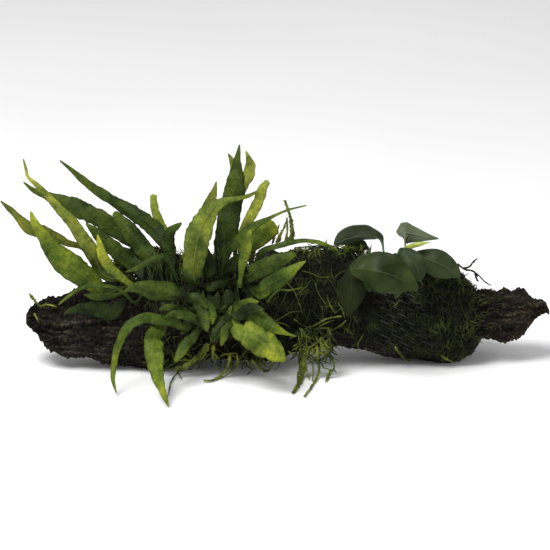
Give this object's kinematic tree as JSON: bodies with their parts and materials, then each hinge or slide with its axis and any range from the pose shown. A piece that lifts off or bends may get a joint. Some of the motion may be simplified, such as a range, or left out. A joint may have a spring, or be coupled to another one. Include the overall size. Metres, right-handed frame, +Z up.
{
  "type": "java fern and anubias on driftwood",
  "caption": "Aquarium driftwood with java fern on its left half, broad-leaved anubias on its right, and moss, roots and a dark net round the wood.",
  "frame": {"origin": "middle of the bounding box at the height of the surface that the log rests on", "axes": "+X along the log, towards its forked end; +Y towards the back; +Z up"},
  "size_m": [0.4119, 0.1859, 0.17],
  "materials": {
    "driftwood": "wet, dark, rough-grained bogwood",
    "rhizome": "dull brown-green",
    "fern_leaf": "semi-matte leaf, yellower at the tips",
    "anubias_leaf": "leathery leaf with a soft sheen",
    "new_leaf": "young yellow-green leaf",
    "moss": "fine tangled strands",
    "roots": "thin wiry roots",
    "net": "fine dark mesh"
  },
  "bodies": {
    "root": {"driftwood_log": "driftwood", "driftwood_right_branch": "driftwood", "fern_rhizome": "rhizome", "fern_leaf_01": "fern_leaf", "fern_leaf_02": "fern_leaf", "fern_leaf_03": "fern_leaf", "fern_leaf_04": "fern_leaf", "fern_leaf_05": "fern_leaf", "fern_leaf_06": "fern_leaf", "fern_leaf_07": "fern_leaf", "fern_leaf_08": "fern_leaf", "fern_leaf_09": "fern_leaf", "fern_leaf_10": "fern_leaf", "fern_leaf_11": "fern_leaf", "fern_leaf_12": "fern_leaf", "fern_leaf_13": "fern_leaf", "fern_leaf_14": "fern_leaf", "fern_leaf_15": "fern_leaf", "fern_leaf_16": "fern_leaf", "fern_leaf_17": "fern_leaf", "fern_leaf_18": "fern_leaf", "fern_leaf_19": "fern_leaf", "fern_leaf_20": "fern_leaf", "fern_leaf_21": "fern_leaf", "fern_leaf_22": "fern_leaf", "fern_leaf_23": "fern_leaf", "fern_leaf_24": "fern_leaf", "fern_leaf_25": "fern_leaf", "fern_leaf_26": "fern_leaf", "fern_leaf_27": "fern_leaf", "fern_leaf_28": "fern_leaf", "fern_leaf_29": "fern_leaf", "fern_leaf_30": "fern_leaf", "fern_leaf_31": "fern_leaf", "fern_leaf_32": "fern_leaf", "fern_leaf_33": "fern_leaf", "fern_leaf_34": "fern_leaf", "fern_leaf_35": "fern_leaf", "fern_leaf_36": "fern_leaf", "fern_leaf_37": "fern_leaf", "fern_leaf_38": "fern_leaf", "anubias_rhizome": "rhizome", "anubias_leaf_01": "anubias_leaf", "anubias_leaf_02": "anubias_leaf", "anubias_leaf_03": "anubias_leaf", "anubias_leaf_04": "anubias_leaf", "anubias_leaf_05": "anubias_leaf", "anubias_leaf_06": "anubias_leaf", "anubias_leaf_07": "anubias_leaf", "anubias_leaf_08": "anubias_leaf", "anubias_leaf_09": "anubias_leaf", "anubias_new_leaf": "new_leaf", "moss_middle": "moss", "moss_right": "moss", "moss_mound": "moss", "moss_spray": "moss", "moss_tuft": "moss", "fern_roots": "roots", "anubias_roots": "roots", "net_wrap": "net"}
  },
  "joints": []
}
